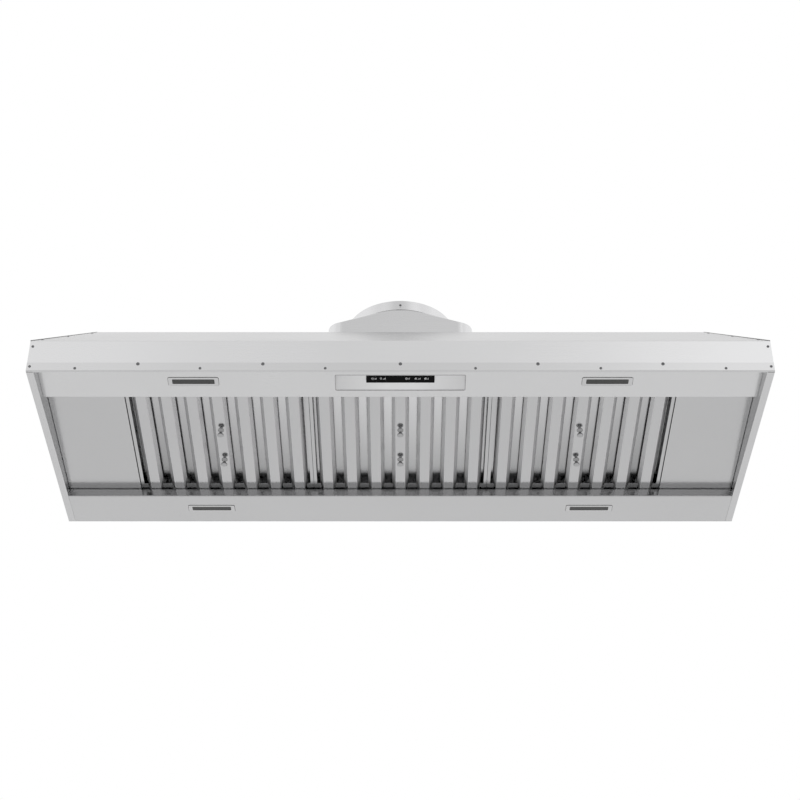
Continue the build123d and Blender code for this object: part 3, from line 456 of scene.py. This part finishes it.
def cutScrews(name, spots, replaced=None):
    heads, slots = bmesh.new(), bmesh.new()
    for spot in spots:
        radius = spot["radius"]
        rise = radius * screwLook["rise"]
        profile = screwProfile(radius, rise, spot["length"], spot["shank"])
        turned(heads, profile, spot["place"], screwLook["segments"])
        slotSize = (radius * screwLook["slotReach"], radius * screwLook["slotWidth"],
                    2 * rise * screwLook["slotDepth"])
        for angle in (screwLook["slotTurn"], screwLook["slotTurn"] + math.pi / 2):
            spin = Matrix.Rotation(angle, 4, "Z") @ Matrix.Translation((0, 0, rise))
            boxIn(slots, spot["place"] @ spin, slotSize)
    solid = bpy.data.objects.new("screwSolid", meshFrom(name, heads))
    cutter = bpy.data.objects.new("screwCutter", meshFrom(name + "Slots", slots))
    for made in (solid, cutter):
        bpy.context.scene.collection.objects.link(made)
    carve = solid.modifiers.new("carve", "BOOLEAN")
    carve.object = cutter
    carve.operation = "DIFFERENCE"
    carve.solver = "EXACT"
    carve.use_self = True
    carved = bpy.data.meshes.new_from_object(solid.evaluated_get(bpy.context.evaluated_depsgraph_get()))
    carved.materials.clear()
    for made in (solid, cutter):
        bpy.data.objects.remove(made)
    addPiece(name, carved, steel["screwSteel"], replaced=replaced)


for node, group in screwGroups.items():
    cutScrews(node + "_detail", screwSpots(node, group), node)
collarSeat = Matrix.Translation(collarScrew["at"]) @ axisTurn(collarScrew["axis"])
cutScrews("collar_screw", [{**collarScrew, "place": collarSeat}])
print("screws cut")

ringLook = {"cornerSteps": 6, "edgeShare": 0.3}


def roundedLoop(length, width, corner):
    steps = ringLook["cornerSteps"]
    points = []
    for sx, sy, start in ((1, 1, 0), (-1, 1, 90), (-1, -1, 180), (1, -1, 270)):
        for k in range(steps + 1):
            angle = math.radians(start + 90 * k / steps)
            points.append((sx * (length / 2 - corner) + corner * math.cos(angle),
                           sy * (width / 2 - corner) + corner * math.sin(angle)))
    return points


def ringStrip(work, place, look):
    # a flat strip round a rounded opening, with one more ring of points near its outer edge
    grow, slack = 2 * look["margin"], look["slack"]
    outer = roundedLoop(look["length"] + grow, look["width"] + grow, look["corner"] + look["margin"])
    inner = roundedLoop(look["length"] + slack, look["width"] + slack, look["corner"])
    low, high = look["lift"], look["thick"]
    near = high - (high - low) * ringLook["edgeShare"]
    loops = []
    for loop, height in ((inner, low), (outer, low), (outer, near), (outer, high), (inner, high)):
        loops.append([work.verts.new(place @ Vector((x, y, height))) for x, y in loop])
    count = len(inner)
    for first, second in zip(loops, loops[1:] + loops[:1]):
        for k in range(count):
            after = (k + 1) % count
            work.faces.new((first[k], first[after], second[after], second[k]))


def underPanel(x, y, z, tilt):
    # a place on an underside, where local Z points down and away from it
    return Matrix.Translation((x, y, z)) @ Matrix.Rotation(math.radians(180 - tilt), 4, "X")


# thin dark ring round each lamp bezel, where it meets its panel: painted shade of the gap there
lampGapLook = {"length": 0.104, "width": 0.025, "corner": 0.004, "margin": 0.0007, "slack": 0.0001,
            "lift": 0.00002, "thick": 0.0004}
lampSpots = {
    "front": {"x": 0.427, "y": -0.5065, "z": -0.1272155, "tilt": 4.5},
    "rear": {"x": 0.427, "y": -0.0555, "z": -0.15, "tilt": 0.0},
}
for row, spot in lampSpots.items():
    for side, end in endSides:
        lampGapRing = bmesh.new()
        ringStrip(lampGapRing, underPanel(end * spot["x"], spot["y"], spot["z"], spot["tilt"]), lampGapLook)
        lampGapMesh = meshFrom("lampGapShade", lampGapRing)
        addPiece(f"{row}_{side}_lamp_gap_shade", lampGapMesh, smooth["sealBeadAndGapShade"])
print("lamp seals laid")

# thin dark ring round the control pocket, on the front panel: painted shade of the gap between panel and
# pocket
pocketGapLook = {"length": 0.268, "width": 0.04755, "corner": 0.003, "margin": 0.0006, "slack": 0.0,
              "lift": 0.00002, "thick": 0.0002, "y": -0.5022, "z": -0.127554, "tilt": 4.5}
pocketGap = bmesh.new()
ringStrip(pocketGap, underPanel(0, pocketGapLook["y"], pocketGapLook["z"], pocketGapLook["tilt"]), pocketGapLook)
addPiece("control_gap_shade", meshFrom("controlGapShade", pocketGap), smooth["sealBeadAndGapShade"])
print("control joint laid")

# bead of sealant where the collar stands on the transition
beadLook = {"radius": 0.1264, "y": -0.1395, "z": 0.2564, "thick": 0.0011,
            "angles": (-15, 5, 25, 45, 65, 85, 105), "segments": 120}
bead = bmesh.new()
beadProfile = [(beadLook["radius"] + beadLook["thick"] * math.cos(math.radians(angle)),
                beadLook["thick"] * math.sin(math.radians(angle))) for angle in beadLook["angles"]]
beadProfile.append((beadLook["radius"], 0))
beadPlace = Matrix.Translation((0, beadLook["y"], beadLook["z"]))
turned(bead, beadProfile, beadPlace, beadLook["segments"], ring=True)
addPiece("collar_bead", meshFrom("collarBead", bead), smooth["sealBeadAndGapShade"])
print("collar bead laid")


def tubeAlong(work, points, radius, sides):
    rings = []
    for k, point in enumerate(points):
        before, after = points[max(k - 1, 0)], points[min(k + 1, len(points) - 1)]
        turn = (after - before).to_track_quat("Z", "Y").to_matrix()
        rings.append([work.verts.new(point + turn @ Vector((*circlePoint(radius, s, sides), 0)))
                      for s in range(sides)])
    for first, second in zip(rings, rings[1:]):
        for s in range(sides):
            after = (s + 1) % sides
            work.faces.new((first[s], first[after], second[after], second[s]))
    work.faces.new(rings[0][::-1])
    work.faces.new(rings[-1])


def linePair(name, meshName, look, finish):
    for side, end in endSides:
        line = bmesh.new()
        points = [Vector((end * x, y, z)) for x, y, z in look["points"]]
        tubeAlong(line, points, look["radius"], look["sides"])
        addPiece(f"{name}_{side}", meshFrom(meshName, line), finish)


# dark bead along the seam where each side meets the front slope, over the crest to the top panel
seamLook = {"radius": 0.0007, "sides": 8,
            "points": ((0.7585, -0.5712, -0.0708), (0.6752, -0.3452, 0.1292), (0.6752, -0.27, 0.1296))}
linePair("hip_seam", "hipSeam", seamLook, smooth["seamFill"])
print("hip seams laid")

# the same bead across each end of the rim, where the side flange meets the lip
rimLook = {"radius": 0.0006, "sides": 8, "points": ((0.7449, -0.5684, -0.15), (0.7586, -0.5684, -0.15))}
linePair("rim_seam", "rimSeam", rimLook, smooth["seamFill"])
print("rim seams laid")

# thin dark line along the inner edge of each blank panel, beside the filters: painted shade of the gap
# there
fillerGapLook = {"radius": 0.0007, "sides": 10,
            "points": ((0.5819, -0.4540, -0.1028), (0.5819, -0.0965, -0.1290))}
linePair("filler_gap_shade", "fillerGapShade", fillerGapLook, smooth["sealBeadAndGapShade"])
print("panel edges trimmed")

# strip that closes the groove between the rear panel's last bend and the back panel
stripLook = {"bend": 0.003, "sheet": 0.0012, "clear": 0.00004, "steps": 8, "start": -80, "sweep": 76}
stripLow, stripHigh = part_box("rear_light_panel")
stripWall = -stripLook["sheet"] - stripLook["clear"]
stripBottom = stripLow[2] + stripLook["clear"]
stripReach = stripLook["bend"] + stripLook["clear"]
stripProfile = [(stripWall, stripBottom)]
for k in range(stripLook["steps"] + 1):
    angle = math.radians(stripLook["start"] + stripLook["sweep"] * k / stripLook["steps"])
    y = -stripLook["sheet"] - stripLook["bend"] + stripReach * math.cos(angle)
    z = stripLow[2] + stripLook["bend"] + stripReach * math.sin(angle)
    stripProfile.append((min(y, stripWall), max(z, stripBottom)))
strip = bmesh.new()
stripEnds = [[strip.verts.new((x, y, z)) for y, z in stripProfile] for x in (stripLow[0], stripHigh[0])]
for k in range(len(stripProfile)):
    after = (k + 1) % len(stripProfile)
    strip.faces.new((stripEnds[0][k], stripEnds[0][after], stripEnds[1][after], stripEnds[1][k]))
strip.faces.new(stripEnds[0][::-1])
strip.faces.new(stripEnds[1])
addPiece("rear_edge_strip", meshFrom("rearEdgeStrip", strip), steel["rearPanelSteel"])
print("rear edge closed")

# touch icons on the glass, with level bars after each: an arc is its middle, radius and two angles,
# a line its two ends, both in half heights of the icon
iconLook = {"tilt": 11.1, "lift": 0.00003, "size": 0.0046, "line": 0.0006, "thick": 0.00006,
            "barsAfter": 0.004, "barStep": 0.0017, "arcSteps": 14, "ringSteps": 20, "faceDown": -0.9}
fanLook = {"turns": (90, 210, 330), "out": 0.55, "radius": 0.42, "sweep": 150}
fanArcs = [(fanLook["out"] * math.cos(math.radians(turn)), fanLook["out"] * math.sin(math.radians(turn)),
            fanLook["radius"], turn - fanLook["sweep"], turn + fanLook["sweep"])
           for turn in fanLook["turns"]]
wholeRing = (0, 0, 1, 0, 360)
levelLine = (-0.55, 0, 0.55, 0)
uprightLine = (0, -0.55, 0, 0.55)
iconShapes = {
    "power": {"x": -0.0572, "arcs": [(0, 0, 1, 120, 420)], "lines": [(0, 0.2, 0, 1.25)], "bars": 3},
    "lamp": {"x": -0.0400, "arcs": [(0, 0.3, 0.7, -50, 230)],
             "lines": [(-0.4, -0.55, 0.4, -0.55), (-0.25, -1, 0.25, -1)], "bars": 4},
    "less": {"x": 0.0128, "arcs": [wholeRing], "lines": [levelLine], "bars": 2},
    "fan": {"x": 0.0318, "arcs": fanArcs, "lines": [], "bars": 4},
    "more": {"x": 0.0518, "arcs": [wholeRing], "lines": [levelLine, uprightLine], "bars": 2},
}
glassMesh = nodes["control_glass"].data
glassFace = [glassMesh.vertices[k].co for face in glassMesh.polygons
             if face.normal.z < iconLook["faceDown"] for k in face.vertices]
glassMiddle = [(min(p[k] for p in glassFace) + max(p[k] for p in glassFace)) / 2 for k in range(3)]
iconPlace = underPanel(*glassMiddle, iconLook["tilt"]) @ Matrix.Translation((0, 0, iconLook["lift"]))
icons = bmesh.new()


def iconStroke(points, closed=False):
    # a flat painted line of even width through the given points
    line = iconLook["line"] / 2
    count = len(points)
    sides = []
    for k, point in enumerate(points):
        here = Vector(point)
        before = Vector(points[k - 1]) if k or closed else here
        after = Vector(points[(k + 1) % count]) if k < count - 1 or closed else here
        way = (after - before).normalized()
        across = Vector((-way.y, way.x)) * line
        sides.append((here + across, here - across))
    cuts = []
    for left, right in sides:
        corners = ((left, 0), (right, 0), (right, iconLook["thick"]), (left, iconLook["thick"]))
        cuts.append([icons.verts.new(iconPlace @ Vector((p.x, p.y, height))) for p, height in corners])
    for k in range(count if closed else count - 1):
        first, second = cuts[k], cuts[(k + 1) % count]
        for s in range(4):
            after = (s + 1) % 4
            icons.faces.new((first[s], first[after], second[after], second[s]))
    if not closed:
        icons.faces.new(cuts[0][::-1])
        icons.faces.new(cuts[-1])


def iconArc(x, y, radius, start, end):
    closed = end - start >= 360
    steps = iconLook["ringSteps" if closed else "arcSteps"]
    count = steps if closed else steps + 1
    angles = [math.radians(start + (end - start) * k / steps) for k in range(count)]
    iconStroke([(x + radius * math.cos(a), y + radius * math.sin(a)) for a in angles], closed)


half = iconLook["size"] / 2
for icon in iconShapes.values():
    middle = icon["x"]
    for x, y, radius, start, end in icon["arcs"]:
        iconArc(middle + half * x, half * y, half * radius, start, end)
    for startX, startY, endX, endY in icon["lines"]:
        iconStroke([(middle + half * startX, half * startY), (middle + half * endX, half * endY)])
    for k in range(icon["bars"]):
        x = middle + iconLook["barsAfter"] + k * iconLook["barStep"]
        iconStroke([(x, -half), (x, -half + 2 * half * (k + 1) / icon["bars"])])
addPiece("control_icons", meshFrom("controlIcons", icons), smooth["iconPaint"])
print("icons painted")

# studio: a wide pale floor far below, and a white surround
studioLook = {"floor": -2.9, "reach": 40.0, "pale": (0.86, 0.86, 0.86), "rough": 0.8, "fill": 0.95,
              "shown": 1.0}

floorMesh = bpy.data.meshes.new("studioFloor")
floorCorners = [(x * studioLook["reach"], y * studioLook["reach"], studioLook["floor"])
                for x, y in ((-1, -1), (1, -1), (1, 1), (-1, 1))]
floorMesh.from_pydata(floorCorners, [], [(0, 1, 2, 3)])
floor = bpy.data.objects.new("studioFloor", floorMesh)
bpy.context.scene.collection.objects.link(floor)
floorFinish, _, _, floorShader = newMaterial("paleFloor")
floorShader.inputs["Base Color"].default_value = (*studioLook["pale"], 1.0)
floorShader.inputs["Roughness"].default_value = studioLook["rough"]
floorMesh.materials.append(floorFinish)

world = bpy.data.worlds.new("whiteStudio")
bpy.context.scene.world = world
world.use_nodes = True
sky, skyLinks = world.node_tree.nodes, world.node_tree.links
sky.clear()
rays = sky.new("ShaderNodeLightPath").outputs
seen = mathStep(sky, skyLinks, "MAXIMUM", rays["Is Camera Ray"], rays["Is Glossy Ray"])
seen = mathStep(sky, skyLinks, "MAXIMUM", seen, rays["Is Transmission Ray"])
choose = sky.new("ShaderNodeMixShader")
skyLinks.new(seen, choose.inputs[0])
for socket, strength in ((1, studioLook["fill"]), (2, studioLook["shown"])):
    white = sky.new("ShaderNodeBackground")
    white.inputs["Color"].default_value = (1, 1, 1, 1)
    white.inputs["Strength"].default_value = strength
    skyLinks.new(white.outputs[0], choose.inputs[socket])
out = sky.new("ShaderNodeOutputWorld")
skyLinks.new(choose.outputs[0], out.inputs["Surface"])

# two soft boxes high in front, one for each end of the fascia
lampLooks = {
    "softLeft": {"place": (-2.5, -5.3, 3.4), "aim": (0, -0.3, 0), "size": (2.4, 2.6), "watts": 4.0},
    "softRight": {"place": (2.5, -5.3, 3.4), "aim": (0, -0.3, 0), "size": (2.6, 2.8), "watts": 8.5},
}
for name, look in lampLooks.items():
    lampData = bpy.data.lights.new(name, "AREA")
    lampData.shape = "RECTANGLE"
    lampData.size, lampData.size_y = look["size"]
    lampData.energy = look["watts"]
    lamp = bpy.data.objects.new(name, lampData)
    lamp.location = look["place"]
    way = Vector(look["aim"]) - Vector(look["place"])
    lamp.rotation_euler = way.to_track_quat("-Z", "Y").to_euler()
    bpy.context.scene.collection.objects.link(lamp)
print("studio lit")

bpy.context.view_layer.update()
